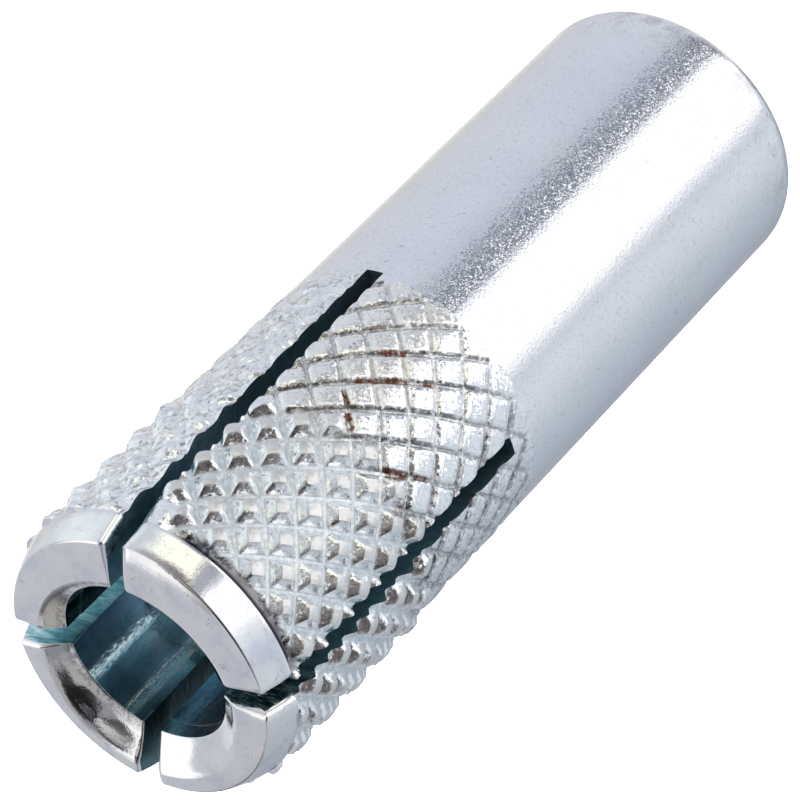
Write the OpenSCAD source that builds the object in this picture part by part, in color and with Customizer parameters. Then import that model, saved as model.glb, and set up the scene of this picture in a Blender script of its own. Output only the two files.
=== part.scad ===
// Knurled drop-in expansion anchor, M12 x 50.
// A zinc plated steel sleeve with an internal thread at its lower end and two
// saw cuts that split its upper end into four leaves. A hardened cone sits
// loose-fitted inside the leaves and spreads them when it is driven up.
//
// Origin: centre of the threaded end's rim, on the sleeve's axis.
// +Z runs along the axis from the threaded end to the slotted end.
// +X runs along the first saw cut.

/* [Sleeve] */
// Outside diameter of the smooth body
body_d = 16; // [14:0.5:18]
// Overall length of the sleeve
sleeve_len = 50; // [46:1:60]
// Rounding of the outer rim at the threaded end
rim_round = 1.5; // [0.5:0.1:1.7]

/* [Thread] */
// Crest diameter of the internal thread (the thread itself is drawn as its plain core hole)
thread_core_d = 10.2; // [10.1:0.05:10.4]
// Depth of the thread's end below the threaded end
thread_end = 21.2; // [16:0.2:23]
// Mouth diameter of the thread's lead-in chamfer
mouth_d = 12.2; // [11.5:0.1:12.4]

/* [Expansion bore] */
// Diameter of the plain chamber that holds the cone
chamber_d = 10.6; // [10.55:0.05:10.8]
// Height at which the chamber starts to taper
taper_start = 27; // [26:0.5:30]
// Height at which the taper reaches its throat
taper_end = 44; // [40:0.5:46]
// Diameter of the throat
throat_d = 9.3; // [8.8:0.1:9.6]
// Diameter of the bore at the foot of the mouth's countersink
tip_bore_d = 9.5; // [9.2:0.1:9.8]

/* [Slotted end] */
// Diameter of the end face, where the collar's taper starts
face_d = 15; // [14.4:0.1:15.4]
// Diameter of the collar where it meets the knurling
collar_d = 16.1; // [15.6:0.1:16.2]
// Width of the plain collar at the slotted end
collar_w = 1.8; // [1:0.1:3]
// Mouth diameter of the countersink in the end face
sink_d = 11.5; // [10.4:0.1:12]
// Slope of the countersink, as its half angle
sink_half_angle = 60; // [40:1:65]
// Distance by which the countersink is off centre
sink_shift = 0.95; // [0:0.05:1]
// Direction in which the countersink is off centre
sink_dir = 165; // [0:5:355]

/* [Knurling] */
// Diameter over the crests of the upper, deeply knurled half
knurl_d = 16.6; // [16.3:0.1:17]
// Diameter over the crests where the knurling is shallow, at its lower edge
knurl_low_d = 16.06; // [16.04:0.02:16.1]
// Diameter over the crests at the top of the shallow rows
knurl_mid_d = 16.2; // [16.14:0.02:16.3]
// Distance from the slotted end to the knurling's lower edge
knurl_depth = 22.5; // [18:0.1:26]
// Height of the shallow rows, from the knurling's lower edge
knurl_rise = 9; // [4:0.5:12]

/* [Saw cuts] */
// Width of both saw cuts
slot_w = 1; // [0.8:0.05:1.4]
// Depth of the first cut, measured from the slotted end
slot1_depth = 23.2; // [18:0.1:24]
// Sideways offset of the first cut from the axis at the slotted end
slot1_shift = 0.5; // [-0.6:0.05:0.6]
// Lean of the first cut away from the axis
slot1_lean = 0.8; // [-2:0.1:2]
// Depth of the second cut, measured from the slotted end
slot2_depth = 21.3; // [18:0.1:24]
// Direction of the second cut
slot2_dir = 95; // [85:0.5:100]
// Sideways offset of the second cut from the axis at the slotted end
slot2_shift = 0; // [-0.5:0.05:0.5]
// Lean of the second cut away from the axis
slot2_lean = -1.6; // [-2:0.1:2]

/* [Cone] */
// Largest diameter of the expander cone
cone_d = 10.1; // [10:0.02:10.14]
// Height of the cone's lower face inside the sleeve
cone_base = 24; // [22:0.5:26]
// Length of the cone
cone_len = 14; // [12:0.5:15]
// Chamfer at the cone's lower edge
cone_chamfer = 0.4; // [0.2:0.1:0.6]
// Chamfer at the cone's nose
nose_chamfer = 0.7; // [0.3:0.1:1]

/* [Hidden] */
$fn = 96;

body_r = body_d / 2;
core_r = thread_core_d / 2;
mouth_r = mouth_d / 2;
chamber_r = chamber_d / 2;
throat_r = throat_d / 2;
tip_r = tip_bore_d / 2;
knurl_lo = sleeve_len - knurl_depth;
knurl_hi = sleeve_len - collar_w;
// slope of the expansion taper, in radius for each mm of height
taper_slope = (chamber_r - throat_r) / (taper_end - taper_start);
// the cone starts to narrow where its flank runs parallel to the sleeve's
// taper, 0.03 mm clear of it
cone_r = cone_d / 2;
flank_gap = 0.03;
flank_start = taper_start + (chamber_r - flank_gap - cone_r) / taper_slope;
cone_top = cone_base + cone_len;
nose_r = cone_r - taper_slope * (cone_top - flank_start);

// Outside of the sleeve: rounded rim, smooth body, raised knurled band and
// the tapered collar at the slotted end, turned as one solid.
module blank() {
    // body with its rounded lower rim
    rotate_extrude() {
        translate([0, rim_round]) square([body_r, knurl_lo - rim_round]);
        square([body_r - rim_round, rim_round + 0.1]);
        intersection() {
            translate([body_r - rim_round, rim_round]) circle(r = rim_round);
            square([body_r, rim_round + 0.1]);
        }
        // knurled band, up to the crests of its pyramids: the shallow lower
        // rows rise very slightly, and a short cone joins them to the deep
        // upper ones
        polygon([[0, knurl_lo - 0.1], [knurl_low_d / 2, knurl_lo], [knurl_mid_d / 2, knurl_lo + knurl_rise - 1],
                 [knurl_d / 2, knurl_lo + knurl_rise + 1], [knurl_d / 2, knurl_hi], [0, knurl_hi]]);
        // collar
        polygon([[0, knurl_hi - 0.1], [collar_d / 2, knurl_hi - 0.1], [collar_d / 2, knurl_hi],
                 [face_d / 2, sleeve_len], [0, sleeve_len]]);
    }
}

// Stepped hole through the sleeve, from the thread's mouth to the throat.
module hole() {
    lead = mouth_r - core_r;
    rotate_extrude()
        polygon([[0, -1], [mouth_r + 1, -1], [core_r, lead],
                 [core_r, thread_end], [chamber_r, thread_end],
                 [chamber_r, taper_start], [throat_r, taper_end],
                 [tip_r, sleeve_len - 1], [tip_r, sleeve_len + 1], [0, sleeve_len + 1]]);
}

// Shallow countersink at the slotted mouth. It was cut slightly off centre,
// so one side of the mouth is wider than the other.
module sink() {
    sink_r = sink_d / 2;
    slope = tan(sink_half_angle);
    depth = 1.6;
    rotate([0, 0, sink_dir]) translate([sink_shift, 0, sleeve_len - depth])
        cylinder(r1 = sink_r - depth * slope, r2 = sink_r + 0.5 * slope, h = depth + 0.5);
}

// One saw cut, right across the sleeve. Its floor is flat.
module saw_cut(depth, dir, shift, lean) {
    rotate([0, 0, dir])
        translate([0, shift, sleeve_len])
            rotate([lean, 0, 0])
                translate([-body_d, -slot_w / 2, -depth])
                    cube([2 * body_d, slot_w, depth + 2]);
}

module sleeve() {
    color([0.78, 0.80, 0.84])
        difference() {
            blank();
            hole();
            sink();
            saw_cut(slot1_depth, 0, slot1_shift, slot1_lean);
            saw_cut(slot2_depth, slot2_dir, slot2_shift, slot2_lean);
        }
}

// Hardened cone, as it is delivered inside the sleeve: its lower end is a
// short cylinder and its flank matches the taper of the leaves.
module expander_plug() {
    color([0.62, 0.64, 0.66])
        rotate_extrude()
            polygon([[0, cone_base], [cone_r - cone_chamfer, cone_base],
                     [cone_r, cone_base + cone_chamfer], [cone_r, flank_start],
                     [nose_r + taper_slope * nose_chamfer, cone_top - nose_chamfer],
                     [nose_r - nose_chamfer, cone_top], [0, cone_top]]);
}

sleeve();
expander_plug();
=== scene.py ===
import math

import bmesh
import bpy
import numpy as np
from mathutils import Matrix, Vector


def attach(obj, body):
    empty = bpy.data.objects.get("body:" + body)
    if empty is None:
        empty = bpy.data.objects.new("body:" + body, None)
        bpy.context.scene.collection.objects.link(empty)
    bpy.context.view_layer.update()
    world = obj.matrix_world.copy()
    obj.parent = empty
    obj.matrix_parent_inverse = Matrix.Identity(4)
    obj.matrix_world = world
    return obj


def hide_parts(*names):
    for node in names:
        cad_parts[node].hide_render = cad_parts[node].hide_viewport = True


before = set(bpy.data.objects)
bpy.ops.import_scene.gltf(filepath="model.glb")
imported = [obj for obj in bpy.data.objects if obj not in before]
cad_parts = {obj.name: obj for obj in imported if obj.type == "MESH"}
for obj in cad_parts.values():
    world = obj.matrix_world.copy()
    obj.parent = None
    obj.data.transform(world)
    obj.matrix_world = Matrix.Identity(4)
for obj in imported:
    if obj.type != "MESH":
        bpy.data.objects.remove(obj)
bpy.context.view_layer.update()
scene = bpy.context.scene

# ------------------------------------------------------------------ sizes, mm
LEN = 50.0
BODY_R = 8.0
RIM = 1.5
CORE_R, THREAD_R, PITCH, THREAD_END = 5.1, 6.0, 1.75, 21.2
MOUTH_R = 6.1
CHAMBER_R, TAPER_LO, TAPER_HI, THROAT_R, TIP_R = 5.3, 27.0, 44.0, 4.65, 4.75
FACE_R, COLLAR_R, COLLAR_Z = 7.48, 8.06, 48.2
SINK_SHIFT, SINK_DIR = 0.95, math.radians(165)
SLOT_W = 1.0
SLOTS = ((23.2, 0.0, 0.5, 0.8), (21.3, 95.0, 0.0, -1.6))  # depth, direction, shift, lean
CONE_R, CONE_LO, CONE_LEN = 5.05, 24.0, 14.0
S_REAR = 5            # lattice row where the knurling ends, towards the thread
K_LO, K_HI = -13, 6   # rows of cells that are meshed
N = 12                # grid intervals across one cell
STARTS = 22
Z_0, Z_STEP, T_0, T_STEP = 33.52, 1.2096, -9.85, 360.0 / 44.0

# ------------------------------------------------------------------ helpers


def smooth(x, lo, hi):
    t = np.clip((x - lo) / (hi - lo), 0, 1)
    return t * t * (3 - 2 * t)


def wave_noise(u, t, seed, cell):
    """Smooth noise on the lattice (u rows, t columns round the sleeve), about -1 to 1."""
    rng = np.random.RandomState(seed)
    nt = max(4, int(round(528 / cell)))
    nu = int(300 / cell) + 4
    grid = rng.uniform(-1, 1, (nu, nt))
    x = (t % 528) / 528 * nt
    y = (u + 160) / cell
    x0, y0 = np.floor(x).astype(int), np.clip(np.floor(y).astype(int), 0, nu - 2)
    fx, fy = x - np.floor(x), np.clip(y - y0, 0, 1)
    fx, fy = fx * fx * (3 - 2 * fx), fy * fy * (3 - 2 * fy)
    a, b = x0 % nt, (x0 + 1) % nt
    return (grid[y0, a] * (1 - fx) + grid[y0, b] * fx) * (1 - fy) + (grid[y0 + 1, a] * (1 - fx) + grid[y0 + 1, b] * fx) * fy


def new_object(name, verts, faces):
    mesh = bpy.data.meshes.new(name)
    mesh.from_pydata([tuple(v) for v in verts], [], [tuple(f) for f in faces])
    mesh.validate(verbose=False)
    mesh.update()
    ob = bpy.data.objects.new(name, mesh)
    scene.collection.objects.link(ob)
    return ob


def turned(name, profile, steps=128, centre=(0, 0)):
    """A closed solid of revolution about Z. profile runs from the axis at the bottom to the axis at the top, (r, z)."""
    verts, faces, rings = [], [], []
    for r, z in profile:
        if r < 1e-9:
            rings.append([len(verts)])
            verts.append((centre[0], centre[1], z))
        else:
            rings.append(list(range(len(verts), len(verts) + steps)))
            for s in range(steps):
                a = 2 * math.pi * s / steps
                verts.append((centre[0] + r * math.cos(a), centre[1] + r * math.sin(a), z))
    for lo, hi in zip(rings, rings[1:]):
        for s in range(steps):
            e = (s + 1) % steps
            if len(lo) == 1:
                faces.append((lo[0], hi[e], hi[s]))
            elif len(hi) == 1:
                faces.append((lo[s], lo[e], hi[0]))
            else:
                faces.append((lo[s], lo[e], hi[e], hi[s]))
    return new_object(name, verts, faces)


def boolean(ob, tool, operation):
    """Applies one boolean and removes the tool. Faces keep their material, so a cut face carries the tool's."""
    m = ob.modifiers.new("cut", "BOOLEAN")
    m.operation, m.object, m.solver = operation, tool, "MANIFOLD"
    bpy.context.view_layer.update()
    deps = bpy.context.evaluated_depsgraph_get()
    mesh = bpy.data.meshes.new_from_object(ob.evaluated_get(deps), preserve_all_data_layers=True, depsgraph=deps)
    ob.modifiers.remove(m)
    old = ob.data
    ob.data = mesh
    bpy.data.meshes.remove(old)
    bpy.data.objects.remove(tool)
    return ob


def paint(ob, mat):
    ob.data.materials.clear()
    ob.data.materials.append(mat)
    return ob


# ------------------------------------------------------------------ materials
def material(name):
    m = bpy.data.materials.new(name)
    m.use_nodes = True
    m.node_tree.nodes.clear()
    return m


MAT = {k: material(k) for k in ("zinc_body", "zinc_knurl", "zinc_face", "zinc_sink", "zinc_bore", "saw_wall", "thread_wall", "plug_steel")}

# ------------------------------------------------------------------ knurled band
# Two families of grooves cross at a row of lattice points. i and j number the
# grooves of each family; s = i - j runs down the sleeve and t = i + j round it.
F_DEEP = np.array([0, .05, .133, .217, .30, .40, .50, .60, .70, .783, .867, .95, 1.0])
F_SHAL = np.array([0, .02, .06, .11, .17, .27, .50, .73, .83, .89, .94, .98, 1.0])
CORNER_A = 1.15       # rounding of the front leaf's corner at the first cut
ZONE_T = [-180, -100, -72, -55, -44, -34, -16, -4, 0, 20, 60, 180]
ZONE_Z = [12.9, 13.2, 13.3, 12.9, 13.8, 12.9, 12.9, 12.3, 10.9, 12.0, 12.8, 12.9]


# the first cut is pinched near its mouth, where its two leaves lean together:
# distance by which each wall has moved in, over the height
PINCH_Z = [41.0, 43.0, 44.5, 46.0, 47.6, 50.0]
PINCH = {1: [0.0, 0.14, 0.20, 0.16, 0.05, 0.03], -1: [0.0, 0.05, 0.14, 0.20, 0.15, 0.09]}


def pinch(which, side, x, z):
    if which:
        return 0.0
    return float(np.interp(z, PINCH_Z, PINCH[side]) * np.clip((x - 1) / 5, 0, 1))


def band_mesh():
    keys, faces = {}, []
    for k in range(K_LO, K_HI + 1):
        for n in range(STARTS):
            m = n + k
            idx = np.zeros((N + 1, N + 1), int)
            for a in range(N + 1):
                for b in range(N + 1):
                    gi, gj = N * m + a, N * n + b
                    u, w = gi - gj, gj % (N * STARTS)
                    idx[a, b] = keys.setdefault((u, w), len(keys))
            for a in range(N):
                for b in range(N):
                    p, q, r, s = idx[a, b], idx[a + 1, b], idx[a + 1, b + 1], idx[a, b + 1]
                    if (a < N / 2) == (b < N / 2):
                        faces += [(p, q, r), (p, r, s)]
                    else:
                        faces += [(p, q, s), (q, r, s)]
    uw = np.array(list(keys))
    u, w = uw[:, 0], uw[:, 1]
    gi, gj = u + w, w
    s_nom, t_nom = u / N, (gi + gj) / N
    th_nom = (T_0 - T_STEP * t_nom + 180) % 360 - 180
    z_tip = LEN - (Z_0 - Z_STEP * s_nom)
    edge = np.interp(th_nom, ZONE_T, ZONE_Z) + 0.35 * wave_noise(u, gi + gj, 5, 20)
    shal = smooth(z_tip, edge - 0.45, edge + 0.45)
    m0, n0, ia, jb = gi // N, gj // N, gi % N, gj % N
    fi = F_DEEP[ia] * (1 - shal) + F_SHAL[ia] * shal
    fj = F_DEEP[jb] * (1 - shal) + F_SHAL[jb] * shal
    # the leaf beside the first cut is worn: its grooves are shallow and rounded
    worn = smooth(th_nom, 1.5, 7) * (1 - smooth(th_nom, 88, 96))
    flat = 0.05 * (1 - shal) + 0.02 * shal
    flank = (0.25 * (1 - shal) + 0.19 * shal) * (1 + 0.45 * worn)
    i, j = m0 + fi, n0 + fj
    # distance to the nearest groove of each family, which end at row S_REAR
    di, dj = np.minimum(fi, 1 - fi), np.minimum(fj, 1 - fj)
    ex_i = np.maximum(np.round(i) - j - S_REAR, 0)
    ex_j = np.maximum(i - np.round(j) - S_REAR, 0)
    d = -np.log(np.exp(-26 * np.hypot(di, ex_i)) + np.exp(-26 * np.hypot(dj, ex_j))) / 26
    h = np.clip((d - flat) / flank, 0, 1)
    round_off = (0.22 + 0.7 * worn) * (1 - shal)
    h = (h * (1 - round_off) + h * h * (3 - 2 * h) * round_off) * (1 - shal) + (1 - (1 - h) ** 2) * shal
    # crests
    cell_k, cell_n = m0 - n0, n0 % STARTS
    rng = np.random.RandomState(11)
    shape = (K_HI - K_LO + 2, STARTS)
    lift, tilt_a, tilt_b = rng.normal(0, 1, shape), rng.normal(0, 1, shape), rng.normal(0, 1, shape)
    ck = np.clip(cell_k - K_LO, 0, shape[0] - 1)
    knurled = cell_k < S_REAR
    deep_top = 8.30 + 0.018 * lift[ck, cell_n] + 0.07 * (tilt_a[ck, cell_n] * (fi - .5) + tilt_b[ck, cell_n] * (fj - .5))
    far = np.maximum(np.abs(fi - .5), np.abs(fj - .5)) / (0.5 - flat - flank)
    deep_top += 0.03 * (1 - np.clip(far, 0, 1.2) ** 2)
    shal_top = np.interp(z_tip, [13, 22.5], [8.09, 8.045]) + 0.007 * lift[ck, cell_n] + 0.03 * (tilt_a[ck, cell_n] * (fi - .5) + tilt_b[ck, cell_n] * (fj - .5))
    shal_top += 0.02 * (1 - np.clip(far, 0, 1.1) ** 2)
    top = deep_top * (1 - shal) + shal_top * shal
    top = np.where(knurled, top, BODY_R)
    bottom = 7.78 * (1 - shal) + np.interp(z_tip, [13, 22.5], [7.86, 7.935]) * shal
    rough = wave_noise(u, gi + gj, 3, 3)
    bottom = bottom + np.where(s_nom < S_REAR + 0.5, 0.012 * rough, 0) * (1 - smooth(s_nom, 4.6, 5.2))
    bottom = bottom + 0.36 * worn * np.where(knurled, top - bottom, 0)
    r = bottom + h * (top - bottom)
    r += np.where(knurled, worn * (0.045 * wave_noise(u, gi + gj, 31, 4) + 0.022 * wave_noise(u, gi + gj, 32, 2)), 0) * (1 - 0.4 * shal)
    r += np.where(knurled & (h > 0) & (h < 1), 0.012 * wave_noise(u, gi + gj, 8, 2), 0)
    # grooves wander a little
    fade = 1 - smooth(s_nom, S_REAR - 0.3, S_REAR + 0.6)
    wob = (0.016 + 0.02 * shal) * fade
    i = i + wob * wave_noise(u, gi + gj, 21, 7)
    j = j + wob * wave_noise(u, gi + gj, 22, 7)
    th = np.radians(T_0 - T_STEP * (i + j))
    z = Z_0 - Z_STEP * (i - j)
    # the band's corner beside the first cut is rounded together with the collar
    rho, y = CORNER_A, r * np.sin(th) - np.interp(z, PINCH_Z, PINCH[-1])
    gap = np.clip(rho + y - 0.10, 0, rho) * (np.cos(th) > 0) * (y < 0.25)
    near = np.clip((z - 45.0) / 3.1, 0, 1)
    limit = 8.40 * (1 - near) + (8.07 - (rho - np.sqrt(rho ** 2 - gap ** 2))) * near
    r = np.where(gap > 0, np.minimum(r, limit), r)
    # and the knurling is worn away there
    worn_off = smooth(z, 46.0, 46.8) * smooth(y, -1.7, -1.1) * (y < 0.25) * (np.cos(th) > 0)
    r = r * (1 - worn_off) + np.minimum(8.16, limit) * worn_off
    # a smooth relief runs along the foot of the front leaf's collar, widest in its middle
    deg = (np.degrees(th) + 180) % 360 - 180
    foot = 47.55 + 0.40 * ((deg + 44) / 32) ** 2
    relief = smooth(z, foot - 0.13, foot + 0.13) * smooth(-deg, 9, 15) * (1 - smooth(-deg, 73, 79))
    r = r * (1 - relief) + 7.96 * relief
    return np.column_stack([r * np.cos(th), r * np.sin(th), z]), faces


def loop_at(bm, z):
    vs = {v for e in bm.edges if e.is_boundary and all(abs(x.co.z - z) < 1e-4 for x in e.verts) for v in e.verts}
    return sorted(vs, key=lambda v: math.atan2(v.co.y, v.co.x))


def outside():
    verts, faces = band_mesh()
    bm = bmesh.new()
    vs = [bm.verts.new(v) for v in verts]
    for f in faces:
        bm.faces.new([vs[q] for q in f])
    z_lo, z_hi = 27.0, COLLAR_Z + 0.02
    for z, side in ((z_lo, -1), (z_hi, 1)):
        bmesh.ops.bisect_plane(bm, geom=bm.verts[:] + bm.edges[:] + bm.faces[:], dist=1e-5,
                               plane_co=(0, 0, z), plane_no=(0, 0, side), clear_outer=True)
    bmesh.ops.remove_doubles(bm, verts=[v for v in bm.verts if min(abs(v.co.z - z_lo), abs(v.co.z - z_hi)) < 1e-4], dist=2e-3)
    # smooth body below the band, with its rounded rim
    ring = loop_at(bm, z_lo)
    angles = [math.atan2(v.co.y, v.co.x) for v in ring]
    steps = [(BODY_R, z) for z in (20.0, 13.0, 7.0, 3.0)]
    steps += [(BODY_R - RIM + RIM * math.cos(a), RIM - RIM * math.sin(a)) for a in np.linspace(0, math.pi / 2, 13)]
    n = len(ring)
    for r, z in steps:
        nxt = [bm.verts.new((r * math.cos(a), r * math.sin(a), z)) for a in angles]
        for q in range(n):
            e = (q + 1) % n
            bm.faces.new((ring[q], nxt[q], nxt[e], ring[e]))
        ring = nxt
    centre = bm.verts.new((0, 0, 0))
    for q in range(n):
        bm.faces.new((ring[q], centre, ring[(q + 1) % n]))
    ring = loop_at(bm, z_hi)
    centre = bm.verts.new((0, 0, z_hi))
    for q in range(len(ring)):
        bm.faces.new((ring[q], ring[(q + 1) % len(ring)], centre))
    bmesh.ops.recalc_face_normals(bm, faces=bm.faces[:])
    mesh = bpy.data.meshes.new("sleeve")
    bm.to_mesh(mesh)
    bm.free()
    ob = bpy.data.objects.new("sleeve_body", mesh)
    scene.collection.objects.link(ob)
    return ob


# ------------------------------------------------------------------ thread and bore
def tap_tool(steps=96):
    """The space that the M12 thread takes: a helical groove with flat crest and root."""
    sect = [(0.0, 0), (1 / 8, 0), (1 / 8 + 5 / 16, 1), (1 / 8 + 5 / 16 + 1 / 4, 1)]  # root, flank, crest, flank
    rows = []
    turn = int((THREAD_END + 4) / PITCH) + 2
    for k in range(-2, turn):
        for f, inner in sect:
            rows.append(((k + f) * PITCH, inner))
    verts, faces = [], []
    for z, inner in rows:
        for s in range(steps):
            zz = z + PITCH * s / steps
            fade = min(max((THREAD_END - zz) / 1.5, 0), 1)
            r = CORE_R - 0.002 if inner else CORE_R + (THREAD_R - CORE_R) * (0.35 + 0.65 * fade)
            a = 2 * math.pi * s / steps
            verts.append((r * math.cos(a), r * math.sin(a), zz))
    cols = len(sect)
    for q in range(len(rows) - 1):
        for s in range(steps - 1):
            p = q * steps + s
            faces.append((p, p + 1, p + 1 + steps, p + steps))
        if q + 1 + cols < len(rows):
            faces.append((q * steps + steps - 1, (q + cols) * steps, (q + cols + 1) * steps, (q + 1) * steps + steps - 1))
    ob = new_object("tap", verts, faces)
    bm = bmesh.new()
    bm.from_mesh(ob.data)
    for z, side in ((-1.0, -1), (THREAD_END, 1)):
        bmesh.ops.bisect_plane(bm, geom=bm.verts[:] + bm.edges[:] + bm.faces[:], dist=1e-5,
                               plane_co=(0, 0, z), plane_no=(0, 0, side), clear_outer=True)
    for z, side in ((-1.0, -1), (THREAD_END, 1)):
        ring = loop_at(bm, z)
        c = bm.verts.new((0, 0, z))
        for q in range(len(ring)):
            bm.faces.new((ring[q], ring[(q + 1) % len(ring)], c))
    bmesh.ops.delete(bm, geom=[v for v in bm.verts if not v.link_faces], context="VERTS")
    bmesh.ops.recalc_face_normals(bm, faces=bm.faces[:])
    bm.to_mesh(ob.data)
    bm.free()
    return ob


def bore_r(z):
    return float(np.interp(z, [THREAD_END, TAPER_LO, TAPER_HI, LEN - 1, LEN + 2], [CHAMBER_R, CHAMBER_R, THROAT_R, TIP_R, TIP_R]))


def saw_tool(depth, turn, shift, lean):
    """One saw cut. Its walls are planes, but for the pinch near the first cut's mouth."""
    w = SLOT_W / 2
    which = 0 if turn == SLOTS[0][1] else 1
    xs, zs = (-11.0, 1.0, 6.0, 11.0), (-depth, -9.0, -7.0, -5.5, -4.0, -2.4, 0.0, 2.0)
    verts = [(x, e * (w - pinch(which, e, x, z + LEN)), z) for x in xs for z in zs for e in (-1, 1)]

    def at(q, k, e):
        return (q * len(zs) + k) * 2 + e

    faces, last = [], len(xs) - 1
    for k in range(len(zs) - 1):
        for q in range(last):
            faces.append((at(q, k, 0), at(q + 1, k, 0), at(q + 1, k + 1, 0), at(q, k + 1, 0)))
            faces.append((at(q, k, 1), at(q, k + 1, 1), at(q + 1, k + 1, 1), at(q + 1, k, 1)))
        faces.append((at(0, k, 0), at(0, k + 1, 0), at(0, k + 1, 1), at(0, k, 1)))
        faces.append((at(last, k, 0), at(last, k, 1), at(last, k + 1, 1), at(last, k + 1, 0)))
    for q in range(last):
        top = len(zs) - 1
        faces.append((at(q, 0, 0), at(q, 0, 1), at(q + 1, 0, 1), at(q + 1, 0, 0)))
        faces.append((at(q, top, 0), at(q + 1, top, 0), at(q + 1, top, 1), at(q, top, 1)))
    ob = new_object("saw", verts, faces)
    place = Matrix.Rotation(math.radians(turn), 4, "Z") @ Matrix.Translation((0, shift, LEN)) @ Matrix.Rotation(math.radians(lean), 4, "X")
    ob.data.transform(place)
    return ob


# ------------------------------------------------------------------ slotted end
# The collar is four leaf ends. Each is swept round the axis from one saw cut to
# the next, and its section shrinks next to the cuts, so that its corners are
# rounded as on the real, tumbled and plated part.
SINK_R = [(2.0, 48.75), (3.2, 49.0), (3.9, 49.15), (4.5, 49.33), (4.95, 49.53), (5.3, 49.72), (5.6, 49.885), (5.78, 49.965), (5.95, 50.0)]
#        start wall          end wall            edge  corner radii at the outside (start, end)
LEAVES = (
    ((0, 1, 1), (1, 1, -1), 0.19, (0.35, 0.50)),
    ((1, 1, 1), (0, -1, 1), 0.22, (0.35, 0.30)),
    ((0, -1, -1), (1, -1, 1), 0.16, (0.45, 0.55)),
    ((1, -1, -1), (0, 1, -1), None, (0.45, CORNER_A)),
)
INSET = -0.008


def wall_angle(which, end, side, r, z):
    depth, turn, shift, lean = SLOTS[which]
    lean = math.radians(lean)
    half = SLOT_W / 2 + INSET - (pinch(which, side, r, z) if end > 0 else 0)
    y = shift + (side * half - (z - LEN) * math.sin(lean)) / math.cos(lean)
    a = math.asin(max(-1, min(1, y / r)))
    if end < 0:
        a = math.pi - a
    return math.radians(turn) + a


def sink_z(r, th):
    cx, cy = SINK_SHIFT * math.cos(SINK_DIR), SINK_SHIFT * math.sin(SINK_DIR)
    d = math.hypot(r * math.cos(th) - cx, r * math.sin(th) - cy)
    return float(np.interp(d, [p[0] for p in SINK_R], [p[1] for p in SINK_R]))


def mouth_r(th):
    """Where the countersink meets the flat face, as a distance from the sleeve's axis."""
    c = math.cos(th - SINK_DIR) * SINK_SHIFT
    s = math.sin(th - SINK_DIR) * SINK_SHIFT
    return c + math.sqrt(max(SINK_R[-1][0] ** 2 - s * s, 0))


def fillet(points, radii, n):
    """Rounds the corners of an open polyline in the (r, z) plane. Every corner gives n points, whatever its radius."""
    out = [points[0]]
    for q in range(1, len(points) - 1):
        p, c, e = (np.array(x, float) for x in (points[q - 1], points[q], points[q + 1]))
        rad = radii[q]
        if rad is None:
            out.append(tuple(c))
            continue
        u, v = p - c, e - c
        lu, lv = np.linalg.norm(u), np.linalg.norm(v)
        u, v = u / lu, v / lv
        if isinstance(rad, tuple):
            cut_u, cut_v = rad
        else:
            ang = math.acos(max(-1, min(1, float(u @ v))))
            cut_u = cut_v = min(rad / math.tan(ang / 2), 0.48 * lu, 0.48 * lv)
        cut_u, cut_v = min(cut_u, 0.48 * lu), min(cut_v, 0.48 * lv)
        for k in range(n):
            t = k / (n - 1)
            a, b, g = (1 - t) ** 2, 2 * t * (1 - t), t * t
            out.append(tuple(a * (c + u * cut_u) + b * c + g * (c + v * cut_v)))
    out.append(points[-1])
    return out


def section(th, edge):
    """The leaf's outline at one angle, and for each point how far corners are rounded there (0 bore, 1 outside)."""
    rb = TIP_R - 0.012
    pts, rad, side = [(rb, 47.6), (rb, 48.3)], [None, None], [0, 0]
    lip = sink_z(rb, th)
    mouth = max(mouth_r(th), rb + 0.12)
    pts.append((rb, min(lip, 49.93)))
    rad.append(0.10)
    inner = 11
    for q in range(1, inner):
        r = rb + (mouth - rb) * q / inner
        pts.append((r, min(sink_z(r, th), 49.999)))
        rad.append(None)
    pts.append((mouth, 50.0))
    rad.append(0.12)
    for q in (0.2, 0.42, 0.6):
        pts.append((mouth + (FACE_R - mouth) * q, 50.0))
        rad.append(None)
    pts.append((FACE_R, 50.0))
    if edge is None:
        # the face dips gently towards the collar, most of all near the first cut, and
        # the edge itself is eased in the middle of the leaf
        deg = (math.degrees(th) + 180) % 360 - 180
        dip = 0.25 + 1.85 * math.exp(-((deg + 20) / 22) ** 2)
        wide = 1 + 0.85 * math.exp(-((deg + 16) / 17) ** 2)
        ease = 0.10 + 0.90 * float(smooth(-deg, 22, 34) * (1 - smooth(-deg, 64, 82)))
        er, ez = FACE_R + 0.065, 50 - 0.108 * dip
        pts.pop()
        for dr, dz in ((-0.52, 0), (-0.41, -0.008), (-0.30, -0.026), (-0.20, -0.050), (-0.12, -0.076)):
            pts.append((er + dr * wide, 50 + dz * dip))
            rad.append(None)
        for dr, dz in ((-0.05, 0.02), (-0.012, -0.007), (0.012, -0.042)):
            pts.append((er + dr * ease, ez + dz * ease))
            rad.append(None)
        pts.append((er + 0.03 * ease, ez - 0.087 * ease))
        edge = None
    rad.append(edge)
    for r, z in ((7.62, 49.66), (7.80, 49.22), (7.95, 48.80), (8.05, 48.42)):
        pts.append((r, z))
        rad.append(None)
    pts.append((8.08, COLLAR_Z))
    rad.append(0.05)
    pts += [(7.55, COLLAR_Z), (7.55, 47.6)]
    rad += [None, None]
    return fillet(pts, rad, 6)


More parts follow.
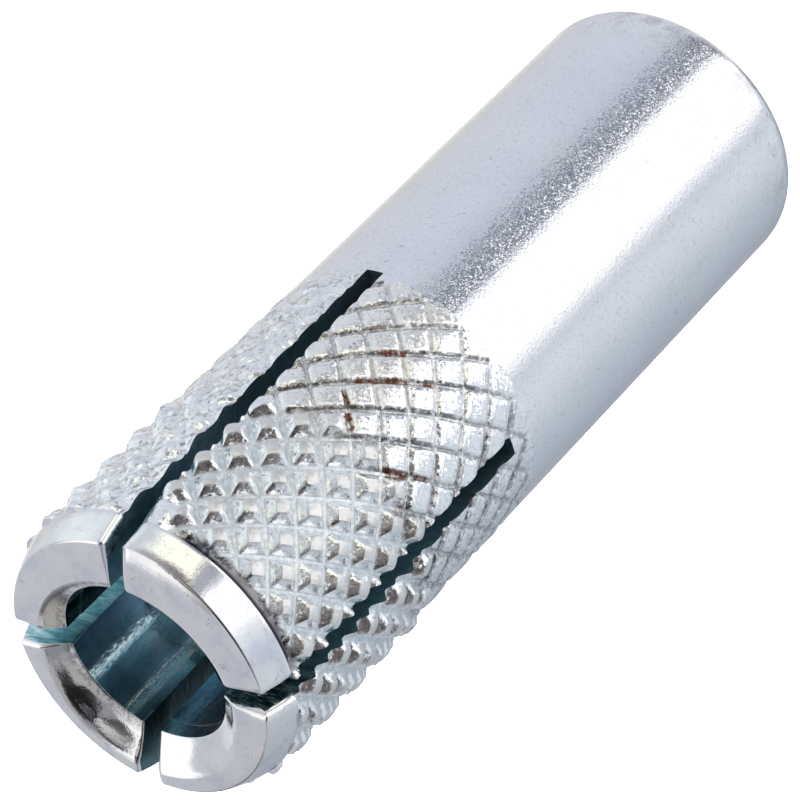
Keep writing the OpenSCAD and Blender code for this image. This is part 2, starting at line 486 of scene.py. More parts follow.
def leaf(number, spec):
    start, end, edge, corner = spec
    rho_in = 0.10
    steps = [0, .012, .04, .08, .14, .22, .32, .44, .58, .74, .92]
    mid = 46
    wide_s, wide_e = (max(1.0, c / 0.85) for c in corner)
    rows = [("s", d * wide_s) for d in steps] + [("m", (q + 1) / (mid + 1)) for q in range(mid)] + [("e", d * wide_e) for d in reversed(steps)]
    base = [math.radians(SLOTS[start[0]][1]) + (math.pi if start[1] < 0 else 0), math.radians(SLOTS[end[0]][1]) + (math.pi if end[1] < 0 else 0)]
    while base[1] < base[0]:
        base[1] += 2 * math.pi
    grid = []
    for kind, val in rows:
        if kind == "s":
            th_mid = base[0] + (0.65 + val) / 6.5
            dist, c = val, corner[0]
        elif kind == "e":
            th_mid = base[1] - (0.65 + val) / 6.5
            dist, c = val, corner[1]
        else:
            lo, hi = base[0] + (0.65 + steps[-1] * wide_s) / 6.5, base[1] - (0.65 + steps[-1] * wide_e) / 6.5
            th_mid = lo + (hi - lo) * val
            dist, c = None, 0
        pts = np.array(section(th_mid, edge))
        if dist is not None:
            tang = np.gradient(pts, axis=0)
            tang /= np.maximum(np.linalg.norm(tang, axis=1), 1e-9)[:, None]
            inward = np.column_stack([tang[:, 1], -tang[:, 0]])
            # the outside is rounded most, the bore's side least
            out = smooth(pts[:, 0], 5.2, 7.3)
            face_c = c * 0.55 if c > 0.85 else c
            rho = rho_in + (c + (face_c - c) * smooth(pts[:, 1], 48.6, 49.9) - rho_in) * out
            rho = np.where(pts[:, 1] < 48.15, 0.02 + (rho - 0.02) * (out if c > 0.85 else 0), rho)
            # next to the knurling the section only shrinks towards the axis
            foot = ((1 - smooth(pts[:, 1], 48.3, 48.9)) * out)[:, None]
            inward = inward * (1 - foot) + np.array([-1.0, 0.0]) * foot
            gap = np.clip(rho - dist - (0.10 * out if c > 0.85 else 0), 0, None)
            delta = rho - np.sqrt(np.maximum(rho ** 2 - gap ** 2, 0))
            pts = pts + inward * delta[:, None]
        row = []
        for r, z in pts:
            a = wall_angle(start[0], start[1], start[2], r, z)
            b = wall_angle(end[0], end[1], end[2], r, z)
            while a < base[0] - math.pi:
                a += 2 * math.pi
            while a > base[0] + math.pi:
                a -= 2 * math.pi
            while b < base[1] - math.pi:
                b += 2 * math.pi
            while b > base[1] + math.pi:
                b -= 2 * math.pi
            if kind == "s":
                th = a + val / r
            elif kind == "e":
                th = b - val / r
            else:
                th = (a + steps[-1] * wide_s / r) * (1 - val) + (b - steps[-1] * wide_e / r) * val
            row.append((r * math.cos(th), r * math.sin(th), z))
        grid.append(row)
    cols = len(grid[0])
    verts = [p for row in grid for p in row]
    faces = []
    for q in range(len(grid) - 1):
        for c in range(cols):
            e = (c + 1) % cols
            faces.append((q * cols + c, (q + 1) * cols + c, (q + 1) * cols + e, q * cols + e))
    for row, flip in ((0, False), (len(grid) - 1, True)):
        ids = [row * cols + c for c in range(cols)]
        faces.append(tuple(reversed(ids)) if flip else tuple(ids))
    ob = new_object("leaf_%d" % number, verts, faces)
    bm = bmesh.new()
    bm.from_mesh(ob.data)
    bmesh.ops.triangulate(bm, faces=[f for f in bm.faces if len(f.verts) > 4])
    bmesh.ops.recalc_face_normals(bm, faces=bm.faces[:])
    bm.to_mesh(ob.data)
    bm.free()
    return ob


# ------------------------------------------------------------------ the sleeve
def make_sleeve():
    ob = outside()
    boolean(ob, tap_tool(), "DIFFERENCE")
    lead = MOUTH_R - CORE_R
    boolean(ob, turned("lead_in", [(0, -1), (MOUTH_R + 1, -1), (CORE_R - 0.05, lead + 0.05), (0, lead + 0.05)]), "DIFFERENCE")
    prof = [(0, THREAD_END - 0.6), (4.5, THREAD_END - 0.6), (CHAMBER_R, THREAD_END)]
    prof += [(bore_r(z), z) for z in (TAPER_LO, 31, 35, 39, 42, TAPER_HI, 46.5, 49, 51)] + [(0, 51)]
    boolean(ob, turned("bore", prof, 160), "DIFFERENCE")
    for slot in SLOTS:
        boolean(ob, saw_tool(*slot), "DIFFERENCE")
    for q, spec in enumerate(LEAVES):
        boolean(ob, leaf(q, spec), "UNION")
    return ob


sleeve = make_sleeve()


def sort_faces(ob):
    """Gives each face the material of the surface it belongs to, and the mesh its sharp edges."""
    names = ["zinc_body", "zinc_knurl", "zinc_face", "zinc_sink", "zinc_bore", "saw_wall", "thread_wall"]
    me = ob.data
    me.materials.clear()
    for n in names:
        me.materials.append(MAT[n])
    count = len(me.polygons)
    c, nrm = np.zeros(count * 3), np.zeros(count * 3)
    me.polygons.foreach_get("center", c)
    me.polygons.foreach_get("normal", nrm)
    c, nrm = c.reshape(-1, 3), nrm.reshape(-1, 3)
    r = np.hypot(c[:, 0], c[:, 1])
    radial = (nrm[:, 0] * c[:, 0] + nrm[:, 1] * c[:, 1]) / np.maximum(r, 1e-9)
    z = c[:, 2]
    s_row = (Z_0 - z) / Z_STEP
    t_row = (T_0 - np.degrees(np.arctan2(c[:, 1], c[:, 0]))) / T_STEP
    row = np.floor((t_row + s_row) / 2 + 0.03) - np.floor((t_row - s_row) / 2 - 0.03)
    kind = np.where((z > 26.9) & (row < S_REAR + 0.5) & (s_row < S_REAR + 1.06), 1, 0)
    kind = np.where((z > COLLAR_Z - 0.005), 2, kind)
    kind = np.where((z > THREAD_END - 0.05) & (radial < -0.4) & (r < 5.45), 4, kind)
    kind = np.where((z > 48.4) & (nrm[:, 2] > 0.25) & (radial < -0.17) & (r < 6.95), 3, kind)
    kind = np.where((z <= THREAD_END + 0.05) & (r < MOUTH_R + 0.1) & ((radial < 0.2) | (r < 6.05)) & (z > 1e-3), 6, kind)
    for depth, turn, shift, lean in SLOTS:
        back = (Matrix.Rotation(math.radians(turn), 4, "Z") @ Matrix.Translation((0, shift, LEN)) @ Matrix.Rotation(math.radians(lean), 4, "X")).inverted()
        b = np.array(back)
        loc = c @ b[:3, :3].T + b[:3, 3]
        ln = nrm @ b[:3, :3].T
        reach = np.where((turn == SLOTS[0][1]) & (loc[:, 0] > 1) & (loc[:, 2] > -9.2), 0.23, 0.03)
        wall = (SLOT_W / 2 + 0.03 - np.abs(loc[:, 1]) < reach + 0.03) & (np.abs(loc[:, 1]) < SLOT_W / 2 + 0.03) & (np.abs(ln[:, 1]) > 0.90) & (loc[:, 2] > -depth - 0.01)
        floor = (np.abs(loc[:, 2] + depth) < 0.01) & (ln[:, 2] > 0.97)
        kind = np.where(wall | floor, 5, kind)
    me.polygons.foreach_set("material_index", kind.astype(np.int32))
    me.polygons.foreach_set("use_smooth", np.ones(count, bool))
    me.set_sharp_from_angle(angle=math.radians(32))
    me.update()


sort_faces(sleeve)
sleeve.data.transform(Matrix.Scale(0.001, 4))
sleeve.name = "sleeve_visual"


# ------------------------------------------------------------------ the cone
def make_plug():
    slope = (CHAMBER_R - THROAT_R) / (TAPER_HI - TAPER_LO)
    start = TAPER_LO + (CHAMBER_R - 0.03 - CONE_R) / slope
    top = CONE_LO + CONE_LEN
    nose = CONE_R - slope * (top - start)
    pts = [(0.0, CONE_LO), (CONE_R, CONE_LO), (CONE_R, start), (nose, top), (0.0, top)]
    rad = [None, 0.4, 0.5, 0.75, None]
    prof = fillet([(0.0, CONE_LO + 0.12), (0.9, CONE_LO + 0.12), (1.3, CONE_LO)] + pts[1:4] + [(1.3, top), (0.9, top - 0.14), (0.0, top - 0.14)],
                  [None, None, 0.1, 0.4, 0.5, 0.75, 0.1, None, None], 7)
    extra = []
    for (r0, z0), (r1, z1) in zip(prof, prof[1:]):
        extra.append((r0, z0))
        if abs(z1 - z0) > 2:
            extra += [(r0 + (r1 - r0) * t, z0 + (z1 - z0) * t) for t in (0.25, 0.5, 0.75)]
    extra.append(prof[-1])
    ob = turned("expander_cone", extra, 128)
    me = ob.data
    me.polygons.foreach_set("use_smooth", np.ones(len(me.polygons), bool))
    me.set_sharp_from_angle(angle=math.radians(32))
    me.transform(Matrix.Scale(0.001, 4))
    return paint(ob, MAT["plug_steel"])


cone = make_plug()

for piece, node, slot in ((sleeve, "sleeve", "zinc_plate"), (cone, "expander_plug", "hardened_steel")):
    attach(piece, "root")
    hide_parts(node)


# ------------------------------------------------------------------ finishes
class Tree:
    """Short calls for building a node tree."""

    def __init__(self, tree):
        self.t = tree

    def node(self, kind, **values):
        n = self.t.nodes.new(kind)
        for k, v in values.items():
            if hasattr(n, k):
                setattr(n, k, v)
            else:
                raise AttributeError(k)
        return n

    def link(self, a, b):
        self.t.links.new(a, b)

    def put(self, socket, value):
        if isinstance(value, bpy.types.NodeSocket):
            self.link(value, socket)
        else:
            socket.default_value = value

    def math(self, op, a, b=0.0, c=0.0, clamp=False):
        n = self.node("ShaderNodeMath", operation=op, use_clamp=clamp)
        for s, v in zip(n.inputs, (a, b, c)):
            self.put(s, v)
        return n.outputs[0]

    def mix(self, fac, a, b):
        n = self.node("ShaderNodeMix", data_type="RGBA")
        self.put(n.inputs[0], fac)
        self.put(n.inputs[6], a)
        self.put(n.inputs[7], b)
        return n.outputs[2]

    def coords(self):
        return self.node("ShaderNodeTexCoord").outputs["Object"]

    def xyz(self, v):
        n = self.node("ShaderNodeSeparateXYZ")
        self.put(n.inputs[0], v)
        return n.outputs

    def scale(self, v, s):
        n = self.node("ShaderNodeMapping")
        self.put(n.inputs["Vector"], v)
        n.inputs["Scale"].default_value = s
        return n.outputs[0]

    def noise(self, v, scale, detail=2.0, rough=0.5):
        n = self.node("ShaderNodeTexNoise")
        self.put(n.inputs["Vector"], v)
        n.inputs["Scale"].default_value = scale
        n.inputs["Detail"].default_value = detail
        n.inputs["Roughness"].default_value = rough
        return n.outputs["Fac"]

    def voronoi(self, v, scale, feature="F1"):
        n = self.node("ShaderNodeTexVoronoi", feature=feature)
        self.put(n.inputs["Vector"], v)
        n.inputs["Scale"].default_value = scale
        return n.outputs

    def ramp(self, fac, stops):
        n = self.node("ShaderNodeValToRGB")
        e = n.color_ramp.elements
        while len(e) > 1:
            e.remove(e[-1])
        e[0].position, e[0].color = stops[0][0], grey(stops[0][1])
        for p, c in stops[1:]:
            x = e.new(p)
            x.color = grey(c)
        self.put(n.inputs[0], fac)
        return n.outputs[0]

    def between(self, fac, lo, hi, a=0.0, b=1.0):
        n = self.node("ShaderNodeMapRange", interpolation_type="SMOOTHSTEP")
        for k, v in zip(("Value", "From Min", "From Max", "To Min", "To Max"), (fac, lo, hi, a, b)):
            self.put(n.inputs[k], v)
        return n.outputs[0]

    def bump(self, height, strength, distance, normal=None):
        n = self.node("ShaderNodeBump")
        n.inputs["Strength"].default_value = strength
        n.inputs["Distance"].default_value = distance
        self.put(n.inputs["Height"], height)
        if normal is not None:
            self.put(n.inputs["Normal"], normal)
        return n.outputs[0]

    def metal(self, color, rough, normal):
        n = self.node("ShaderNodeBsdfPrincipled")
        n.inputs["Metallic"].default_value = 1.0
        self.put(n.inputs["Base Color"], color)
        self.put(n.inputs["Roughness"], rough)
        if normal is not None:
            self.put(n.inputs["Normal"], normal)
        out = self.node("ShaderNodeOutputMaterial")
        self.link(n.outputs[0], out.inputs[0])
        return n


def grey(c):
    return (c, c, c, 1) if isinstance(c, (int, float)) else tuple(c) + (1,) * (4 - len(c))


def radius_of(t, x, y):
    return t.math("SQRT", t.math("ADD", t.math("MULTIPLY", x, x), t.math("MULTIPLY", y, y)))


def crystals(t, p, scale, small, large, gain=1.0, rare=1.0):
    """The shading normal, tilted at random from one plating crystal to the next. A few are tilted much more than the rest."""
    cells = t.voronoi(p, scale)["Color"]

    def vec(op, a, b):
        n = t.node("ShaderNodeVectorMath", operation=op)
        t.put(n.inputs[0], a)
        t.put(n.inputs[1], b)
        return n.outputs[0]

    v = vec("SUBTRACT", cells, (0.5, 0.5, 0.5))
    cube = vec("MULTIPLY", vec("MULTIPLY", v, v), v)

    def times(a, s):
        n = t.node("ShaderNodeVectorMath", operation="SCALE")
        t.put(n.inputs[0], a)
        t.put(n.inputs["Scale"], s)
        return n.outputs[0]

    tilt = vec("ADD", times(vec("MULTIPLY", v, (2 * small,) * 3), gain), times(vec("MULTIPLY", cube, (8 * large,) * 3), rare))
    plain = t.node("ShaderNodeNewGeometry").outputs["Normal"]
    return vec("NORMALIZE", vec("ADD", plain, tilt), (0, 0, 0))


def squiggles(t, p, scale, width, pieces, lo, hi):
    """Short thin curved scratches: pieces of the contour lines of a noise."""
    n = t.math("ABSOLUTE", t.math("SUBTRACT", t.noise(p, scale, 2.0, 0.5), 0.5))
    return t.math("MULTIPLY", t.between(n, width * 0.4, width, 1.0, 0.0), t.between(t.noise(p, pieces, 2.0, 0.5), lo, hi))


def finish_body(m):
    t = Tree(m.node_tree)
    p = t.coords()
    x, y, z = t.xyz(p)
    grain = t.noise(p, 6500.0, 2.0, 0.65)
    patch = t.noise(p, 190.0, 3.0, 0.55)
    fine = t.noise(p, 3000.0, 4.0, 0.75)
    area = t.between(t.noise(p, 330.0, 3.0), 0.42, 0.62)
    marks = t.math("MULTIPLY", t.between(fine, 0.615, 0.66), area)
    marks = t.math("MAXIMUM", marks, t.math("MULTIPLY", squiggles(t, p, 800.0, 0.010, 1100.0, 0.61, 0.66), 0.8))
    speck = t.between(t.noise(p, 5200.0, 2.0, 0.7), 0.54, 0.70)
    rim = t.math("MULTIPLY", t.between(z, 0.0008, 0.0040, 1.0, 0.0), t.between(t.noise(p, 800.0, 4.0, 0.75), 0.46, 0.62))
    # the plating sparkles most in one drawn streak down the body
    angle = t.math("ARCTAN2", y, x)
    streak = t.math("MULTIPLY", t.between(angle, math.radians(-28.4), math.radians(-26.2)), t.between(angle, math.radians(-20), math.radians(-10), 1.0, 0.0))
    quiet = t.between(angle, math.radians(-50), math.radians(-46), 0.25, 0.75)
    normal = crystals(t, p, 14000.0, 0.013, 0.06, quiet, t.math("ADD", t.math("MULTIPLY", quiet, 0.5), t.math("MULTIPLY", streak, 3.0)))
    normal = t.bump(grain, 0.6, 0.00002, normal)
    tint = t.ramp(patch, [(0.30, (0.83, 0.845, 0.87)), (0.70, (0.895, 0.90, 0.91))])
    tint = t.mix(t.math("MULTIPLY", speck, 0.40), tint, (0.52, 0.51, 0.54, 1))
    tint = t.mix(t.math("MULTIPLY", rim, 0.55), tint, (0.46, 0.43, 0.44, 1))
    color = t.mix(t.math("MULTIPLY", marks, 0.60), tint, (0.40, 0.38, 0.40, 1))
    t.metal(color, t.between(grain, 0.3, 0.7, 0.07, 0.13), normal)


# rust stains along the grooves: angle in degrees and height in mm of both ends, then width in mm
STAINS = ((-19.4, 31.87, -26.3, 31.02, 0.36), (-26.2, 33.40, -33.6, 32.32, 0.34), (-39.8, 31.50, -42.0, 31.20, 0.30), (-21.6, 34.10, -25.6, 33.50, 0.28),
          (-20.8, 35.25, -24.4, 35.60, 0.30), (-27.7, 36.16, -31.9, 36.62, 0.30), (-51.4, 36.84, -57.9, 36.00, 0.38), (-60.8, 35.55, -63.6, 35.12, 0.26),
          (-64.0, 37.53, -66.8, 37.05, 0.28), (-46.0, 38.2, -46.6, 38.1, 0.20))


def finish_knurl(m):
    t = Tree(m.node_tree)
    p = t.coords()
    x, y, z = t.xyz(p)
    rad = radius_of(t, x, y)
    low = t.between(z, 0.0368, 0.0386, 1.0, 0.0)
    deep = t.between(rad, 0.00777, 0.00790, 1.0, 0.0)
    shallow = t.between(rad, 0.00794, 0.00801, 1.0, 0.0)
    cavity = t.math("ADD", t.math("MULTIPLY", low, shallow), t.math("MULTIPLY", t.math("SUBTRACT", 1.0, low), deep))
    grain = t.noise(p, 5200.0, 2.0, 0.65)
    patch = t.noise(p, 1300.0, 3.0, 0.6)
    angle = t.math("ARCTAN2", y, x)
    worn = t.math("MULTIPLY", t.between(angle, math.radians(1), math.radians(6)), t.between(angle, math.radians(88), math.radians(94), 1.0, 0.0))
    top = t.math("MULTIPLY", t.between(rad, 0.00820, 0.00829), t.math("SUBTRACT", 1.0, worn))
    loud = t.math("ADD", 1.0, t.math("MULTIPLY", low, 0.9))
    fine = crystals(t, p, 6500.0, 0.018, 0.09, loud, loud)
    coarse = crystals(t, p, 4200.0, 0.12, 0.30)
    # place in the knurling's lattice: 0 in the middle of a cell, 0.5 in the grooves
    turn = t.math("DIVIDE", t.math("SUBTRACT", math.radians(T_0), angle), math.radians(T_STEP))
    rise = t.math("DIVIDE", t.math("SUBTRACT", Z_0 / 1000, z), Z_STEP / 1000)
    frac_i = t.math("FRACT", t.math("MULTIPLY", t.math("ADD", turn, rise), 0.5))
    frac_j = t.math("FRACT", t.math("MULTIPLY", t.math("SUBTRACT", turn, rise), 0.5))
    off_i = t.math("ABSOLUTE", t.math("SUBTRACT", frac_i, 0.5))
    off_j = t.math("ABSOLUTE", t.math("SUBTRACT", frac_j, 0.5))
    ring = t.math("ADD", t.math("MAXIMUM", off_i, off_j), t.math("MULTIPLY", t.math("SUBTRACT", t.noise(p, 1500.0, 2.0, 0.5), 0.5), 0.30))
    # a faint raised line runs inside the border of each shallow cell
    ridge = t.math("MULTIPLY", t.between(ring, 0.19, 0.235), t.between(ring, 0.235, 0.28, 1.0, 0.0))
    ridge = t.math("MULTIPLY", ridge, low)
    mixed = t.node("ShaderNodeMix", data_type="VECTOR")
    t.put(mixed.inputs[0], t.math("MULTIPLY", worn, 0.8))
    t.put(mixed.inputs[4], fine)
    t.put(mixed.inputs[5], coarse)
    normal = t.bump(grain, 0.7, 0.00002, mixed.outputs[1])
    normal = t.bump(patch, 0.6, 0.00005, normal)
    normal = t.bump(ridge, 0.8, 0.000012, normal)
    tint = t.ramp(patch, [(0.30, (0.90, 0.925, 0.94)), (0.70, (0.97, 0.975, 0.98))])
    warm = t.math("MULTIPLY", low, t.between(angle, math.radians(-40), math.radians(-26)))
    tint = t.mix(warm, tint, t.ramp(patch, [(0.30, (0.92, 0.905, 0.87)), (0.70, (0.98, 0.97, 0.95))]))
    tint = t.mix(t.math("MULTIPLY", ridge, 0.20), tint, (0.55, 0.55, 0.56, 1))
    tint = t.mix(worn, tint, t.ramp(patch, [(0.34, (0.84, 0.87, 0.89)), (0.52, (0.95, 0.965, 0.975)), (0.66, (1.0, 0.985, 0.93))]))
    # painted shade: the crests are darker, which tones down their reflection
    tint = t.mix(top, tint, t.ramp(patch, [(0.30, (0.73, 0.725, 0.71)), (0.70, (0.85, 0.845, 0.83))]))
    speckle = t.between(t.noise(p, 4300.0, 2.0, 0.7), 0.52, 0.66)
    tint = t.mix(t.math("MULTIPLY", speckle, t.math("ADD", 0.16, t.math("MULTIPLY", worn, 0.22))), tint, (0.40, 0.40, 0.42, 1))
    # painted shade in the bottoms of the grooves, in patches: pale in the deep zone, near black in the shallow one
    groove_shade = t.math("MULTIPLY", cavity, t.between(t.noise(p, 3600.0, 3.0, 0.7), 0.34, 0.58))
    groove_shade_colour = t.mix(low, (0.66, 0.72, 0.76, 1), (0.17, 0.16, 0.16, 1))
    groove_shade = t.math("MULTIPLY", groove_shade, t.between(worn, 0.0, 1.0, 0.85, 0.35))
    # painted shade: one family of the shallow grooves is darker than the other
    family_shade = t.between(t.math("SUBTRACT", off_j, off_i), -0.08, 0.04, t.between(angle, math.radians(-62), math.radians(-74), 0.50, 1.0), 0.68)
    groove_shade = t.math("MULTIPLY", groove_shade, t.math("MAXIMUM", family_shade, t.math("SUBTRACT", 1.0, low)))
    color = t.mix(groove_shade, tint, groove_shade_colour)
    # painted shade also falls on one side of the shallow grooves, in specks
    specks = t.between(t.noise(p, 3000.0, 3.0, 0.7), 0.36, 0.54)
    shaded_side_j = t.math("MULTIPLY", t.between(frac_j, 0.81, 0.87), t.between(frac_j, 0.94, 0.985, 1.0, 0.0))
    shaded_side_j = t.math("MULTIPLY", shaded_side_j, t.math("MULTIPLY", low, t.between(angle, math.radians(-66), math.radians(-52))))
    shaded_side_i = t.math("MULTIPLY", t.between(frac_i, 0.16, 0.24, 1.0, 0.0), t.math("MULTIPLY", low, t.between(angle, math.radians(-60), math.radians(-72))))
    color = t.mix(t.math("MULTIPLY", t.math("MULTIPLY", shaded_side_j, specks), t.math("MULTIPLY", t.math("SUBTRACT", 1.0, worn), 0.88)), color, (0.15, 0.145, 0.14, 1))
    color = t.mix(t.math("MULTIPLY", t.math("MULTIPLY", shaded_side_i, specks), 0.75), color, (0.30, 0.30, 0.32, 1))
    rust = None
    for ang_a, height_a, ang_b, height_b, size in STAINS:
        length = math.hypot(math.radians(ang_b - ang_a) * 7.93, height_b - height_a)
        count = max(2, int(round(length / 0.22)) + 1)
        for q in range(count):
            f = q / (count - 1)
            a = math.radians(ang_a + (ang_b - ang_a) * f)
            n = t.node("ShaderNodeVectorMath", operation="DISTANCE")
            t.link(p, n.inputs[0])
            n.inputs[1].default_value = (0.00793 * math.cos(a), 0.00793 * math.sin(a), (height_a + (height_b - height_a) * f) / 1000)
            near = t.between(n.outputs["Value"], size * 0.00034, size * 0.00078, 1.0, 0.0)
            rust = near if rust is None else t.math("MAXIMUM", rust, near)
    rust = t.math("MULTIPLY", rust, t.between(rad, 0.00800, 0.00812, 1.0, 0.15))
    rust = t.math("MULTIPLY", rust, t.between(t.noise(p, 2600.0, 3.0, 0.7), 0.34, 0.56))
    color = t.mix(rust, color, (0.20, 0.075, 0.04, 1))
    # painted shade in the corner at the foot of the collar, and a painted shadow line right under its edge
    foot = t.math("MULTIPLY", t.between(z, 0.04730, 0.04760), t.between(t.noise(p, 900.0, 3.0, 0.6), 0.22, 0.40))
    foot = t.math("MULTIPLY", foot, t.math("MULTIPLY", t.between(x, 0.0005, 0.0025), t.between(y, -0.0014, -0.0030)))
    foot = t.math("MULTIPLY", foot, t.between(rad, 0.00798, 0.00816, 1.0, 0.15))
    color = t.mix(t.math("MULTIPLY", foot, 0.90), color, t.ramp(patch, [(0.36, (0.09, 0.085, 0.095)), (0.60, (0.19, 0.18, 0.19))]))
    # painted shadow: a near-black line just under the collar's edge
    color = t.mix(t.math("MULTIPLY", foot, t.between(z, 0.04788, 0.04804)), color, (0.04, 0.04, 0.045, 1))
    rough = t.math("ADD", t.between(grain, 0.3, 0.7, 0.12, 0.20), t.math("ADD", t.math("MULTIPLY", cavity, t.between(low, 0.0, 1.0, 0.36, 0.12)), t.math("MULTIPLY", top, 0.26)))
    dull = t.math("MULTIPLY", t.between(angle, math.radians(-38), math.radians(-31)), t.between(angle, math.radians(-17), math.radians(-10), 1.0, 0.0))
    rough = t.math("ADD", rough, t.math("MULTIPLY", t.math("MULTIPLY", dull, low), 0.14))
    t.metal(color, rough, normal)


def finish_face(m, rough_lo=0.07, rough_hi=0.13, strength=0.4, wave=0.00005, calm=False):
    t = Tree(m.node_tree)
    p = t.coords()
    x, y, z = t.xyz(p)
    grain = t.noise(p, 5200.0, 2.0, 0.65)
    patch = t.noise(p, 620.0, 4.0, 0.6)
    speck = t.between(t.noise(p, 2400.0, 3.0, 0.7), 0.60, 0.74)
    normal = t.bump(grain, 0.35, 0.00001)
    # the countersink is smoother on one side
    waves = t.math("MULTIPLY", patch, t.between(y, -0.0008, 0.0008, 0.15, 0.55)) if calm else patch
    normal = t.bump(waves, strength, wave, normal)
    tint = t.ramp(patch, [(0.32, (0.74, 0.75, 0.80)), (0.50, (0.86, 0.86, 0.88)), (0.68, (0.92, 0.905, 0.88))])
    color = t.mix(t.math("MULTIPLY", speck, 0.42), tint, (0.42, 0.40, 0.40, 1))
    color = t.mix(t.math("MULTIPLY", squiggles(t, p, 900.0, 0.012, 1100.0, 0.58, 0.64), 0.45), color, (0.40, 0.38, 0.38, 1))
    if calm:
        # a gritty border along the bore on the rough side
        border = t.math("MULTIPLY", t.between(radius_of(t, x, y), 0.00500, 0.00540, 1.0, 0.0), t.between(y, 0.0, 0.0010))
        border = t.math("MULTIPLY", border, t.between(t.noise(p, 3600.0, 3.0, 0.7), 0.42, 0.60))
        color = t.mix(t.math("MULTIPLY", border, 0.75), color, (0.36, 0.37, 0.40, 1))
    t.metal(color, t.between(grain, 0.3, 0.7, rough_lo, rough_hi), normal)


def finish_bore(m):
    t = Tree(m.node_tree)
    p = t.coords()
    x, y, z = t.xyz(p)
    lines = t.noise(t.scale(p, (1, 1, 0.02)), 4500.0, 3.0, 0.6)
    grain = t.noise(p, 5200.0, 2.0, 0.6)
    # two drawn lines sparkle with fine grit, and further down their colour carries painted highlights
    angle = t.math("ARCTAN2", y, x)
    score_and_highlight = t.math("MULTIPLY", t.between(angle, math.radians(151.0), math.radians(152.2)), t.between(angle, math.radians(153.6), math.radians(156.0), 1.0, 0.0))
    drawn_and_highlight = t.math("MULTIPLY", t.between(angle, math.radians(119), math.radians(122)), t.between(angle, math.radians(128), math.radians(131), 1.0, 0.0))
    normal = crystals(t, t.scale(p, (1, 1, 0.2)), 26000.0, 0.008, 0.07, 1.0, t.math("ADD", 0.05, t.math("MAXIMUM", score_and_highlight, t.math("MULTIPLY", drawn_and_highlight, 0.5))))
    normal = t.bump(lines, 0.25, 0.00002, normal)
    normal = t.bump(grain, 0.5, 0.00001, normal)
    patch = t.noise(p, 300.0, 2.0, 0.5)
    side = t.between(y, 0.0002, -0.0010)
    tint = t.ramp(patch, [(0.30, (0.38, 0.62, 0.68)), (0.55, (0.47, 0.80, 0.76)), (0.75, (0.54, 0.86, 0.78))])
    # darker towards the mouth
    mouth = t.math("MULTIPLY", t.between(z, 0.0465, 0.0480), t.between(angle, math.radians(126), math.radians(134)))
    tint = t.mix(t.math("MULTIPLY", mouth, 0.62), tint, (0.06, 0.16, 0.18, 1))
    # painted highlight along one line: pale, and yellow near the mouth
    warm = t.mix(t.between(z, 0.0455, 0.0475), (0.85, 0.95, 0.95, 1), (1.0, 1.0, 0.80, 1))
    tint = t.mix(t.math("MULTIPLY", score_and_highlight, t.between(lines, 0.30, 0.55)), tint, warm)
    # painted shade: a dark band beside the scored line
    tint = t.mix(t.math("MULTIPLY", t.between(angle, math.radians(155), math.radians(158)), 0.65), tint, (0.30, 0.33, 0.35, 1))
    # painted highlight along the other drawn line
    tint = t.mix(t.math("MULTIPLY", drawn_and_highlight, t.between(lines, 0.36, 0.56)), tint, (0.92, 0.98, 1.0, 1))
    # painted light: the side towards -Y is lightened, mottled blue, lilac and pink
    mottle = t.noise(p, 3200.0, 2.0, 0.7)
    color = t.mix(side, tint, t.ramp(mottle, [(0.38, (0.42, 0.72, 1.0)), (0.50, (0.86, 0.86, 1.0)), (0.60, (1.0, 0.78, 0.88))]))
    t.metal(color, t.math("ADD", t.between(lines, 0.3, 0.7, 0.045, 0.09), t.math("MULTIPLY", side, 0.22)), normal)


